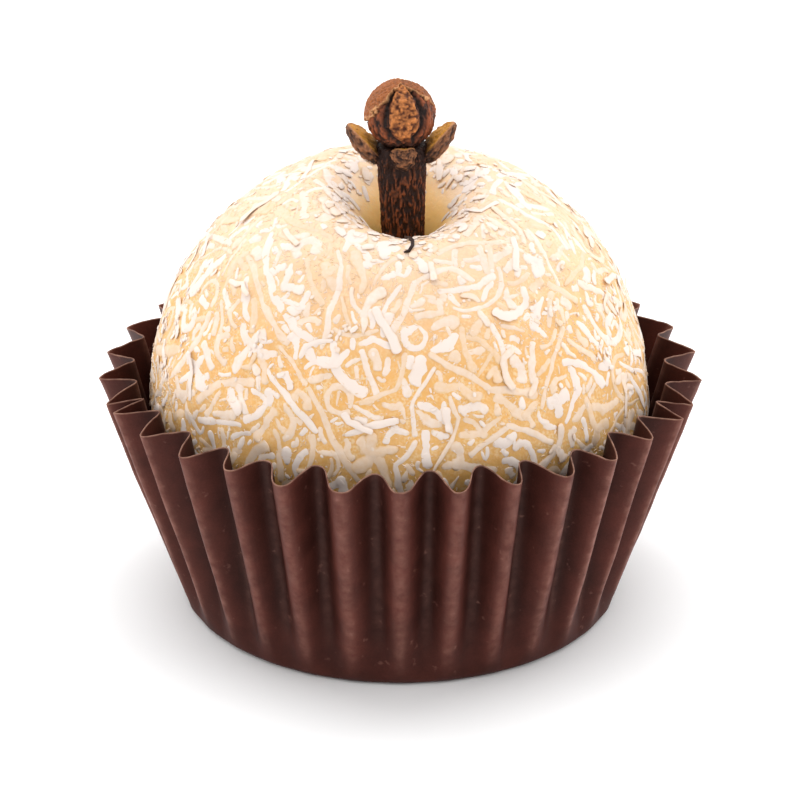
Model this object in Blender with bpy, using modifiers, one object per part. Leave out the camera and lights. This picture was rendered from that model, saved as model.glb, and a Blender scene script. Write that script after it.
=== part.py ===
"""Coconut brigadeiro: a ball of condensed milk and coconut in a pleated paper case, with a clove on top.

Metres, +Z up. The origin is the middle of the underside of the paper case, and -Y is the front.
Three nodes: paper_case, coconut_ball and clove. Nothing moves.
"""

import math
import random

import bmesh
import bpy
from mathutils import Matrix, Vector

MM = 0.001
GAP = 0.3 * MM  # air left between neighbouring solids

# Paper case: a flat paper disc, gathered into pleats round its floor.
PAPER = 0.15 * MM
PLEATS = 31
EVEN_PITCH = 2 * math.pi / PLEATS
FLOOR_RADIUS = 13.3 * MM  # where the wall's ridges would meet the floor
RIM_RADIUS = 18.0 * MM  # over the outer ridges
RIM_HEIGHT = 14.55 * MM  # of the outer ridges; the inner folds stand steeper, so they reach higher
FLOOR_FILLET = 0.5 * MM
PRESSED_HEIGHT = 1.5 * MM  # near the floor the mould has pressed the pleats nearly flat
FOLD_ROUNDING = 0.90  # 1 is a sharp zigzag
FOLD_LOSS = 0.92  # share of the pleat's depth left by its rounded folds
INNER_FOLD_RISE = 0.75  # share of the height that an inner fold gains by standing steeper
PITCH_SPREAD = 0.06  # unevenness of the pleats' widths
FRONT_CLOSENESS = 0.09  # the pleats are this much closer at the front than at the back
SIDE_OPENNESS = 0.045  # and this much wider at the two sides
PINCHED_PLEATS = {6: 0.57, 24: 0.34}  # pleat: share of an ordinary width at the rim
RIM_SWAY = 0.12 * MM  # unevenness of the rim's height
CASE_SEED = 5539
FOLD_STEPS = (0.0, 0.12, 0.38, 0.5, 0.62, 0.88)  # places of a pleat that its solid has points at
WALL_HEIGHTS = (0.14 * MM, FLOOR_FILLET, 2.2 * MM, 5.4 * MM, 9.8 * MM, RIM_HEIGHT)

# Coconut ball: round above, taking the shape of the case below, with a crater round the clove.
BALL_RADIUS = 15.05 * MM
BALL_CENTRE_HEIGHT = 12.9 * MM
BALL_UNDER_DEPTH = 13.0 * MM  # half height of the lower half before it is flattened
BALL_REST = PAPER + GAP
CASE_CLEARANCE = 0.36 * MM  # from the ball to the case's inner folds
LUMP = 0.10 * MM
CRATER_RADIUS = 6.9 * MM  # front to back
CRATER_SLIMNESS = 1.28  # how many times narrower the crater is from side to side
CRATER_DEPTH = 7.8 * MM  # of the funnel's point, hidden in the clove's socket
BALL_STEPS = 44

# Clove, in its own frame: +Z along the stem, origin at the stem's pressed-in end.
CLOVE_PLACE = Vector((0.25, -2.5, 19.7)) * MM
CLOVE_LEAN = math.radians(-1.0)
# (radius, height) in mm, from the pressed-in end to the cup that holds the bud.
STEM_PROFILE = (
    (0.95, 0.0),
    (1.17, 0.3),
    (1.24, 2.0),
    (1.26, 4.4),
    (1.33, 6.6),
    (1.45, 8.6),
    (1.66, 9.2),
    (1.45, 9.8),
)
STEM_SQUARENESS = 0.05
STEM_STEPS = 20
SOCKET_FLOOR = 19.2 * MM
SOCKET_RADIUS = 1.7 * MM
BUD_RADIUS = 2.13 * MM
BUD_HEIGHT = 11.5 * MM  # of its centre
PETALS = 4
PETAL_GROOVE = 0.10 * MM
SEPAL_ROOT = Vector((1.1, 0.0, 8.8)) * MM
SEPAL_LENGTH = 2.95 * MM
SEPAL_WIDTH = 2.0 * MM
SEPAL_THICKNESS = 0.85 * MM
SEPAL_RISE = math.radians(31)  # above level, where it leaves the stem
SEPAL_CURL = math.radians(34)  # how much steeper it ends
# Turn round the stem, measured from +X, and share of the full length: the front tip is broken off.
SEPALS = {"right": (0, 1.0), "back": (92, 0.95), "left": (180, 1.0), "front": (276, 0.72)}


def clear_scene():
    for obj in list(bpy.data.objects):
        bpy.data.objects.remove(obj)


def collection(name):
    made = bpy.data.collections.new(name)
    bpy.context.scene.collection.children.link(made)
    return made


def principled(name, colour, roughness):
    material = bpy.data.materials.new(name)
    material.use_nodes = True
    shader = material.node_tree.nodes["Principled BSDF"]
    shader.inputs["Base Color"].default_value = (*colour, 1.0)
    shader.inputs["Roughness"].default_value = roughness
    shader.inputs["Metallic"].default_value = 0.0
    material.diffuse_color = (*colour, 1.0)
    return material


def object_of(name, mesh, home, material=None):
    obj = bpy.data.objects.new(name, mesh)
    home.objects.link(obj)
    if material:
        mesh.materials.clear()
        mesh.materials.append(material)
    return obj


def smooth(mesh, crease_degrees):
    mesh.shade_smooth()
    mesh.set_sharp_from_angle(angle=math.radians(crease_degrees))


def evaluated_mesh(obj):
    """The object's mesh with its modifiers worked in."""
    bpy.context.view_layer.update()
    graph = bpy.context.evaluated_depsgraph_get()
    return bpy.data.meshes.new_from_object(obj.evaluated_get(graph))


def turned(name, profile, steps, home):
    """A mesh turned round Z from (radius, height) points, listed from the top of the outside downwards."""
    outline = bpy.data.meshes.new(name)
    points = [(radius, 0.0, height) for radius, height in profile]
    outline.from_pydata(points, [(i, i + 1) for i in range(len(points) - 1)], [])
    obj = object_of(name, outline, home)
    screw = obj.modifiers.new("Turn", "SCREW")
    screw.steps = screw.render_steps = steps
    screw.use_merge_vertices = True
    screw.merge_threshold = 0.00001
    mesh = evaluated_mesh(obj)
    bpy.data.objects.remove(obj)
    return mesh


# ---- paper case ------------------------------------------------------------------------------------------


def rim_ridge_angles():
    """Angles of the outer ridges at the rim, from the front towards +X, with one more to close the ring."""
    dice = random.Random(CASE_SEED)
    widths = []
    for pleat in range(PLEATS):
        facing = (pleat + 0.5) * EVEN_PITCH
        width = 1 - FRONT_CLOSENESS * math.cos(facing) - SIDE_OPENNESS * math.cos(2 * facing)
        width += dice.uniform(-PITCH_SPREAD, PITCH_SPREAD)
        widths.append(PINCHED_PLEATS.get(pleat, width))
    share = 2 * math.pi / sum(widths)
    angles = [0.0]
    for width in widths:
        angles.append(angles[-1] + width * share)
    return angles


def ridge_angle(pleat, climb, rim_angles):
    """A ridge runs straight from even spacing at the floor to its own place at the rim."""
    even = pleat * EVEN_PITCH
    middle = sum(a - i * EVEN_PITCH for i, a in enumerate(rim_angles)) / len(rim_angles)
    return even + middle + (rim_angles[pleat] - even - middle) * climb


def outer_radius(height):
    """Radius over the ridges: a straight flare, with a fillet at the floor."""
    flare = FLOOR_RADIUS + (RIM_RADIUS - FLOOR_RADIUS) * height / RIM_HEIGHT
    if height < FLOOR_FILLET:
        across = FLOOR_FILLET - height
        flare -= FLOOR_FILLET - math.sqrt(FLOOR_FILLET**2 - across**2)
    return flare


def slant(height):
    """Distance up an outer ridge, from the floor."""
    return height * math.hypot(RIM_HEIGHT, RIM_RADIUS - FLOOR_RADIUS) / RIM_HEIGHT


def pleat_depth(height, pitch=EVEN_PITCH):
    """Depth of a pleat whose paper is as wide as the flat disc was at that distance from the floor.

    A pinched pleat is no deeper than an even one.
    """
    half_paper = math.pi * (FLOOR_RADIUS + slant(height)) / PLEATS
    half_pitch = 0.5 * max(pitch, EVEN_PITCH) * (outer_radius(height) - MM * height / RIM_HEIGHT)
    pressed = 1 - math.exp(-height / PRESSED_HEIGHT)
    return pressed * FOLD_LOSS * math.sqrt(max(half_paper**2 - half_pitch**2, 0.0))


def fold(share):
    """A rounded zigzag across one pleat: 0 on its outer ridges and 1 in its inner fold."""
    wave = math.asin(FOLD_ROUNDING * math.cos(2 * math.pi * share)) / math.asin(FOLD_ROUNDING)
    return 0.5 - 0.5 * wave


def case_point(turn, height, rim_angles):
    """A point of the case's outside: turn counts pleats from the front, and its fraction crosses a pleat."""
    pleat = min(int(turn), PLEATS - 1)
    share = turn - pleat
    climb = height / RIM_HEIGHT
    start = ridge_angle(pleat, climb, rim_angles)
    pitch = ridge_angle(pleat + 1, climb, rim_angles) - start
    radius = outer_radius(height) - pleat_depth(height, pitch) * fold(share)
    angle = start + pitch * share
    sway = RIM_SWAY * climb * math.sin(3 * angle + 0.6) * math.cos(5 * angle)
    steeper = math.sqrt(max(slant(height) ** 2 - (radius - FLOOR_RADIUS) ** 2, 0.0)) - height
    rise = height + sway + INNER_FOLD_RISE * max(steeper, 0.0)
    return Vector((radius * math.sin(angle), -radius * math.cos(angle), rise))


def make_paper_case(home, material):
    rim_angles = rim_ridge_angles()
    segments = PLEATS * len(FOLD_STEPS)
    bm = bmesh.new()
    turn_of = bm.verts.layers.float.new("turn")
    bmesh.ops.create_circle(bm, cap_ends=True, segments=segments, radius=FLOOR_RADIUS)
    bm.verts.ensure_lookup_table()
    floor_radius = outer_radius(0.0)
    for index, vert in enumerate(bm.verts):
        pleat, place = divmod(index, len(FOLD_STEPS))
        vert[turn_of] = pleat + FOLD_STEPS[place]
        spot = case_point(vert[turn_of], 0.0, rim_angles)
        vert.co = spot * (floor_radius / spot.length)
    edges = list(bm.edges)
    for height in WALL_HEIGHTS:
        grown = bmesh.ops.extrude_edge_only(bm, edges=edges)["geom"]
        edges = [item for item in grown if isinstance(item, bmesh.types.BMEdge)]
        for item in grown:
            if isinstance(item, bmesh.types.BMVert):
                item.co = case_point(item[turn_of], height, rim_angles)
    bmesh.ops.recalc_face_normals(bm, faces=bm.faces)
    mesh = bpy.data.meshes.new("paper_case")
    bm.to_mesh(mesh)
    bm.free()
    smooth(mesh, 50)
    case = object_of("paper_case", mesh, home, material)
    shell = case.modifiers.new("Paper", "SOLIDIFY")
    shell.thickness = PAPER
    shell.offset = -1
    return case


def inner_radius(height):
    """Radius inside the case's inner folds."""
    return outer_radius(height) - pleat_depth(height) - PAPER


# ---- coconut ball ----------------------------------------------------------------------------------------


def dome_height(across):
    """Height of the round upper half at a distance from the ball's axis."""
    return BALL_CENTRE_HEIGHT + math.sqrt(max(BALL_RADIUS**2 - across**2, 0.0))


def crater(place):
    """Depth pressed into the dome round the clove: an oval funnel that flattens out to the dome."""
    across = math.hypot((place.x - CLOVE_PLACE.x) * CRATER_SLIMNESS, place.y - CLOVE_PLACE.y)
    return CRATER_DEPTH * max(1 - across / CRATER_RADIUS, 0.0) ** 2


def under_radius(height):
    """Radius of the rounded lower half."""
    across = (BALL_CENTRE_HEIGHT - height) / BALL_UNDER_DEPTH
    return BALL_RADIUS * math.sqrt(max(1 - across**2, 0.0))


def ball_profile():
    """(radius, height) from the middle of the clove's socket, over the dome, to under the ball."""
    profile = [(0.0, SOCKET_FLOOR), (SOCKET_RADIUS, SOCKET_FLOOR)]
    profile.append((SOCKET_RADIUS, dome_height(SOCKET_RADIUS)))
    crater_steps = 8
    for step in range(1, crater_steps + 1):
        radius = SOCKET_RADIUS + (CRATER_RADIUS - SOCKET_RADIUS) * step / crater_steps
        profile.append((radius, dome_height(radius)))
    first = math.asin(CRATER_RADIUS / BALL_RADIUS)
    dome_steps = 8
    for step in range(1, dome_steps + 1):
        radius = BALL_RADIUS * math.sin(first + (0.5 * math.pi - first) * step / dome_steps)
        profile.append((radius, dome_height(radius)))
    under_steps = 8
    for step in range(1, under_steps + 1):
        drop = math.sin(0.5 * math.pi * step / under_steps)
        height = BALL_CENTRE_HEIGHT + (BALL_REST - BALL_CENTRE_HEIGHT) * drop
        profile.append((under_radius(height), height))
    profile.append((0.0, BALL_REST))
    return profile


def round_clove(point):
    """Slides the dome's rings forward to lie round the clove, and presses the crater into them."""
    across = math.hypot(point.x, point.y)
    if point.z <= BALL_CENTRE_HEIGHT or across >= BALL_RADIUS:
        return point
    outer_share = max(0.0, (across - CRATER_RADIUS) / (BALL_RADIUS - CRATER_RADIUS))
    follow = 1 - outer_share**2 * (3 - 2 * outer_share)
    moved = Vector((point.x + CLOVE_PLACE.x * follow, point.y + CLOVE_PLACE.y * follow, point.z))
    if point.z > SOCKET_FLOOR + GAP:
        moved.z += dome_height(math.hypot(moved.x, moved.y)) - dome_height(across) - crater(moved)
    return moved


def lumps(point):
    """Hand-rolled unevenness: slow waves round and up the ball, fading out at its top and underneath."""
    around = math.atan2(point.x, -point.y)
    up = (point.z - BALL_CENTRE_HEIGHT) / BALL_RADIUS
    wave = math.sin(2 * around + 1.1) * math.cos(2.2 * up) + 0.6 * math.sin(3 * around - 0.5 + 3 * up)
    return LUMP * wave * max(0.0, 1 - up * up)


def inside_case(point):
    """The point, drawn in where the case's folds press the ball."""
    across = math.hypot(point.x, point.y)
    room = inner_radius(point.z) - CASE_CLEARANCE
    if point.z > RIM_HEIGHT + GAP or across <= room:
        return point
    return Vector((point.x * room / across, point.y * room / across, point.z))


def make_coconut_ball(home, material):
    mesh = turned("coconut_ball", ball_profile(), BALL_STEPS, home)
    for vert in mesh.vertices:
        vert.co = round_clove(vert.co)
        outwards = Vector((vert.co.x, vert.co.y, 0.0)).normalized()
        vert.co = inside_case(vert.co + outwards * lumps(vert.co))
    smooth(mesh, 40)
    return object_of("coconut_ball", mesh, home, material)


# ---- clove -----------------------------------------------------------------------------------------------


def clove_stem(home):
    """The flower's four-sided tube, flared at the top into the cup that the sepals grow from."""
    profile = [(radius * MM, height * MM) for radius, height in reversed(STEM_PROFILE)]
    profile = [(0.0, profile[0][1])] + profile + [(0.0, profile[-1][1])]
    mesh = turned("clove", profile, STEM_STEPS, home)
    for vert in mesh.vertices:
        corner = math.cos(4 * math.atan2(vert.co.y, vert.co.x))
        vert.co.xy *= 1 - STEM_SQUARENESS * corner
    return object_of("clove", mesh, home)


def clove_bud(home):
    """The closed globe of four petals, with a shallow groove where one petal overlaps the next."""
    bm = bmesh.new()
    bmesh.ops.create_uvsphere(bm, u_segments=24, v_segments=14, radius=BUD_RADIUS)
    for vert in bm.verts:
        around = math.atan2(vert.co.y, vert.co.x)
        seam = abs(math.cos(0.5 * PETALS * around)) ** 6
        vert.co *= 1 - PETAL_GROOVE / BUD_RADIUS * seam
        vert.co.z += BUD_HEIGHT
    mesh = bpy.data.meshes.new("clove_bud")
    bm.to_mesh(mesh)
    bm.free()
    return object_of("clove_bud", mesh, home)


def clove_sepal(side, degrees, length_share, home):
    """A thick pointed scale: a ball drawn out along a rising curve, narrowing to its tip."""
    length = SEPAL_LENGTH * length_share
    bm = bmesh.new()
    lie_down = Matrix.Rotation(0.5 * math.pi, 4, "Y")
    bmesh.ops.create_uvsphere(bm, u_segments=12, v_segments=9, radius=1.0, matrix=lie_down)
    for vert in bm.verts:
        along = 0.5 * (vert.co.x + 1)
        rise = SEPAL_RISE + SEPAL_CURL * along * 0.5
        narrowing = 1 - 0.38 * along**2
        thinning = 1 - 0.22 * along
        middle = SEPAL_ROOT + Vector((math.cos(rise), 0.0, math.sin(rise))) * length * along
        tilt = SEPAL_RISE + SEPAL_CURL * along
        across = Vector((-math.sin(tilt), 0.0, math.cos(tilt)))
        cupped = 0.25 * SEPAL_THICKNESS * vert.co.y**2
        vert.co = (
            middle
            + across * (0.5 * SEPAL_THICKNESS * thinning * vert.co.z + cupped)
            + Vector((0.0, 0.5 * SEPAL_WIDTH * narrowing * vert.co.y, 0.0))
        )
    bmesh.ops.rotate(bm, matrix=Matrix.Rotation(math.radians(degrees), 3, "Z"), verts=bm.verts)
    bmesh.ops.recalc_face_normals(bm, faces=bm.faces)
    mesh = bpy.data.meshes.new("clove_sepal_" + side)
    bm.to_mesh(mesh)
    bm.free()
    return object_of("clove_sepal_" + side, mesh, home)


def make_clove(home, helpers, material):
    """One dried flower bud: the stem, its four sepals and the petals are grown together into one solid."""
    clove = clove_stem(home)
    limbs = [clove_sepal(side, degrees, share, helpers) for side, (degrees, share) in SEPALS.items()]
    limbs.append(clove_bud(helpers))
    for limb in limbs:
        join = clove.modifiers.new(limb.name, "BOOLEAN")
        join.operation = "UNION"
        join.object = limb
    clove.data = evaluated_mesh(clove)
    clove.modifiers.clear()
    for limb in limbs:
        bpy.data.objects.remove(limb)
    clove.data.materials.clear()
    clove.data.materials.append(material)
    smooth(clove.data, 45)
    clove.location = CLOVE_PLACE
    clove.rotation_euler = (0.0, CLOVE_LEAN, 0.0)
    return clove


def main():
    clear_scene()
    sweet = collection("coconut_brigadeiro")
    helpers = collection("helpers")
    make_paper_case(sweet, principled("greaseproof_paper", (0.075, 0.030, 0.024), 0.5))
    make_coconut_ball(sweet, principled("coconut_sweet", (0.86, 0.66, 0.38), 0.5))
    make_clove(sweet, helpers, principled("dried_clove", (0.10, 0.035, 0.015), 0.7))


main()
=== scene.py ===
"""Finished looks of a coconut brigadeiro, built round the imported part.

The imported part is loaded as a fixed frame, in metres with +Z up and -Y to the front. Each piece below is a
surface worked out with numpy and laid over the solid that it stands for.
"""

import math
import random

import bpy
import numpy as np
from bpy.props import FloatProperty, FloatVectorProperty, IntProperty, PointerProperty
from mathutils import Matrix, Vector
from mathutils.kdtree import KDTree


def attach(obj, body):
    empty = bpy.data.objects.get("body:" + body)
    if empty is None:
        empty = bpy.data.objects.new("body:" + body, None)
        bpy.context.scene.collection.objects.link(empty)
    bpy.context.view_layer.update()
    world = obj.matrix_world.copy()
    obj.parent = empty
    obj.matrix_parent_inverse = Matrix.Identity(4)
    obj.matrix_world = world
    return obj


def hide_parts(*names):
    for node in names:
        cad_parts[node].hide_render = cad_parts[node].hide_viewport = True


bl_info = {
    "name": "Coconut brigadeiro",
    "version": (1, 0, 0),
    "blender": (4, 5, 0),
    "location": "3D View > Sidebar > Sweet",
    "description": "Adds a coconut brigadeiro with its clove and pleated paper case",
    "category": "Add Mesh",
}

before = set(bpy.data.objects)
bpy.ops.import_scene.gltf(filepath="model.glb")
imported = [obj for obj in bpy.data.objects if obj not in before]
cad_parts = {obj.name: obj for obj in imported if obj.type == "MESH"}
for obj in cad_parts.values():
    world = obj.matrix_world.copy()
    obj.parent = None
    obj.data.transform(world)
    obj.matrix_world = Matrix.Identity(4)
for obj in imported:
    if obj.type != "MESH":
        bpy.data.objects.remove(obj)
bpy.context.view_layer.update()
MM = 0.001


# ---- shared tools ----------------------------------------------------------------------------------------


def linear(code):
    """An sRGB hex colour, such as "#5A3A35", as linear red, green, blue and full opacity."""
    shares = [int(code[place : place + 2], 16) / 255 for place in (1, 3, 5)]
    return (*[s / 12.92 if s <= 0.04045 else ((s + 0.055) / 1.055) ** 2.4 for s in shares], 1.0)


def unit(vectors):
    return vectors / np.linalg.norm(vectors, axis=-1, keepdims=True)


def ramp(low, high, value):
    """0 below low, 1 above high, and a smooth step between them."""
    share = np.clip((value - low) / (high - low), 0.0, 1.0)
    return share * share * (3 - 2 * share)


def grain(points, size, seed):
    """Smooth random relief between -1 and 1.

    Every corner of a cubic lattice of that size has a random value, the fraction of a large sine, and a
    smooth step blends the eight corners round a point.
    """
    cell = np.asarray(points) / size + 17.31 * seed
    corner = np.floor(cell)
    inside = cell - corner
    inside = inside * inside * (3 - 2 * inside)
    relief = np.zeros(cell.shape[:-1])
    for step in np.ndindex(2, 2, 2):
        wave = np.sin((corner + step) @ np.array((12.9898, 78.233, 37.719))) * 43758.5453
        value = 2 * (wave - np.floor(wave)) - 1
        relief += value * np.where(step, inside, 1 - inside).prod(axis=-1)
    return relief


def mixed_colours(low, high, share):
    """Linear colours between two, at a share for each point."""
    low, high = np.array(low), np.array(high)
    return low + (high - low) * np.clip(share, 0, 1)[..., None]


def ring_quads(rows, columns):
    """Quads of a grid of closed rings, numbered ring by ring, with the rings listed from the bottom up."""
    row, column = np.meshgrid(np.arange(rows - 1), np.arange(columns), indexing="ij")
    beside = (column + 1) % columns
    low, high = row * columns, (row + 1) * columns
    return np.stack((low + column, low + beside, high + beside, high + column), axis=-1).reshape(-1, 4)


def cap_fan(pole, ring_start, columns, upwards):
    """Triangles that close a ring at a pole."""
    here = ring_start + np.arange(columns)
    beside = ring_start + (np.arange(columns) + 1) % columns
    pair = (here, beside) if upwards else (beside, here)
    return np.stack((np.full(columns, pole), *pair), axis=-1)


def closed_rings(points):
    """A closed surface from rings listed from the bottom up, whose first and last rings shrink to a pole."""
    rows, columns = points.shape[:2]
    poles = np.stack((points[0].mean(axis=0), points[-1].mean(axis=0)))
    count = rows * columns
    faces = ring_quads(rows, columns).tolist()
    faces += cap_fan(count, 0, columns, False).tolist()
    faces += cap_fan(count + 1, count - columns, columns, True).tolist()
    return np.concatenate((points.reshape(-1, 3), poles)), faces


def with_poles(values):
    """Values of a grid's points, with those of the two poles that closed_rings adds."""
    ends = np.stack((values[0].mean(axis=0), values[-1].mean(axis=0)))
    flat = values.reshape(-1, *values.shape[2:])
    return np.concatenate((flat, ends))


def add_piece(name, points, faces, material, numbers=None, colours=None):
    """One smooth piece of the sweet, riding on the part, with values at its points for its material."""
    mesh = bpy.data.meshes.new(name)
    mesh.from_pydata(points.tolist(), [], faces)
    for label, values in (numbers or {}).items():
        layer = mesh.attributes.new(label, "FLOAT", "POINT")
        layer.data.foreach_set("value", np.asarray(values, dtype=np.float32).ravel())
    for label, values in (colours or {}).items():
        layer = mesh.attributes.new(label, "FLOAT_COLOR", "POINT")
        layer.data.foreach_set("color", np.asarray(values, dtype=np.float32).ravel())
    mesh.shade_smooth()
    mesh.materials.append(material)
    mesh.validate()
    piece = bpy.data.objects.new(name, mesh)
    bpy.context.scene.collection.objects.link(piece)
    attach(piece, "root")
    return piece


def add_node(tree, kind, inputs=None, **settings):
    """Adds a node with its settings. Each input, by name or number, gets a value or the socket that feeds it."""
    node = tree.nodes.new("ShaderNode" + kind)
    for name, value in settings.items():
        setattr(node, name, value)
    for key, value in (inputs or {}).items():
        if isinstance(value, bpy.types.NodeSocket):
            tree.links.new(value, node.inputs[key])
        else:
            node.inputs[key].default_value = value
    return node


def new_material(name, **shader_values):
    """A material with the values of its shader's own sockets, its node tree and its object coordinates."""
    material = bpy.data.materials.new(name)
    material.use_nodes = True
    tree = material.node_tree
    shader = tree.nodes["Principled BSDF"]
    for label, value in shader_values.items():
        shader.inputs[label.replace("_", " ")].default_value = value
    place = add_node(tree, "TexCoord").outputs["Object"]
    return material, tree, shader, place


# ---- the paper case --------------------------------------------------------------------------------------

PLEATS = 31
EVEN_PITCH = 2 * math.pi / PLEATS
FLOOR_FILLET = 0.5 * MM
PRESSED_HEIGHT = 1.5 * MM
FOLD_LOSS = 0.92
INNER_FOLD_RISE = 0.75
FULL_FOLD = 1.25
PITCH_SPREAD = 0.06
FRONT_CLOSENESS = 0.09
SIDE_OPENNESS = 0.045
PINCHED_PLEATS = {6: 0.57, 24: 0.34}
RIM_SWAY = 0.12 * MM
CASE_SEED = 5539


class SweetCaseSizes(bpy.types.PropertyGroup):
    """Sizes and colours of the pleated paper case."""

    floor_radius: FloatProperty(
        name="Floor radius", description="Radius of the flat floor", default=13.3 * MM, unit="LENGTH"
    )
    rim_radius: FloatProperty(
        name="Rim radius", description="Radius over the ridges at the rim", default=18.0 * MM, unit="LENGTH"
    )
    rim_height: FloatProperty(
        name="Rim height", description="Height of the ridges at the rim", default=14.55 * MM, unit="LENGTH"
    )
    paper: FloatProperty(
        name="Paper", description="Thickness of the paper", default=0.07 * MM, unit="LENGTH"
    )
    crumple: FloatProperty(
        name="Crumple", description="Depth of the paper's dents", default=0.05 * MM, unit="LENGTH"
    )
    colour: FloatVectorProperty(
        name="Colour", description="Colour of the paper", default=linear("#44211B"), size=4, subtype="COLOR"
    )
    cut_colour: FloatVectorProperty(
        name="Cut edge", description="Colour of the cut edge", default=linear("#8F6B5B"), size=4, subtype="COLOR"
    )


def rim_ridge_angles():
    """Angles of the outer ridges at the rim: uneven widths, added up and scaled to fill the ring."""
    dice = random.Random(CASE_SEED)
    widths = []
    for pleat in range(PLEATS):
        facing = (pleat + 0.5) * EVEN_PITCH
        width = 1 - FRONT_CLOSENESS * math.cos(facing) - SIDE_OPENNESS * math.cos(2 * facing)
        width += dice.uniform(-PITCH_SPREAD, PITCH_SPREAD)
        widths.append(PINCHED_PLEATS.get(pleat, width))
    return np.concatenate(((0.0,), np.cumsum(widths))) * 2 * math.pi / sum(widths)


def ridge_angle(pleat, climb, rim_angles):
    """A ridge runs straight from even spacing at the floor to its own place at the rim."""
    even = pleat * EVEN_PITCH
    middle = np.mean(rim_angles - np.arange(PLEATS + 1) * EVEN_PITCH)
    return even + middle + (rim_angles[pleat] - even - middle) * climb


def outer_radius(height, sizes):
    """Radius over the ridges: a straight flare, with a quarter round at the floor."""
    flare = sizes.floor_radius + (sizes.rim_radius - sizes.floor_radius) * height / sizes.rim_height
    across = np.clip(FLOOR_FILLET - height, 0, FLOOR_FILLET)
    return flare - FLOOR_FILLET + np.sqrt(FLOOR_FILLET**2 - across**2)


def slant(height, sizes):
    """Distance up an outer ridge, from the floor."""
    return height * math.hypot(1, (sizes.rim_radius - sizes.floor_radius) / sizes.rim_height)


def pleat_depth(height, pitch, sizes):
    """Depth of a pleat whose paper is as wide as the flat disc was at that distance from the floor.

    Half the paper is the long side of a right triangle with half the pitch, and the depth is its other side.
    """
    half_paper = math.pi * (sizes.floor_radius + slant(height, sizes)) / PLEATS
    half_pitch = 0.5 * np.maximum(pitch, EVEN_PITCH)
    half_pitch = half_pitch * (outer_radius(height, sizes) - MM * height / sizes.rim_height)
    pressed = 1 - np.exp(-height / PRESSED_HEIGHT)
    return pressed * FOLD_LOSS * np.sqrt(np.maximum(half_paper**2 - half_pitch**2, 0.0))


def fold(share, rounding, fullness):
    """A wave across one pleat: 0 on its ridges and 1 in its inner fold.

    It goes with the fullness from the arcsine of a cosine, a zigzag, to the sine of a cosine, full round folds.
    """
    wave = np.cos(2 * math.pi * share)
    zigzag = np.arcsin(rounding * wave) / np.arcsin(rounding)
    full = np.sin(FULL_FOLD * wave) / math.sin(FULL_FOLD)
    return 0.5 - 0.5 * (zigzag + (full - zigzag) * fullness)


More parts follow.
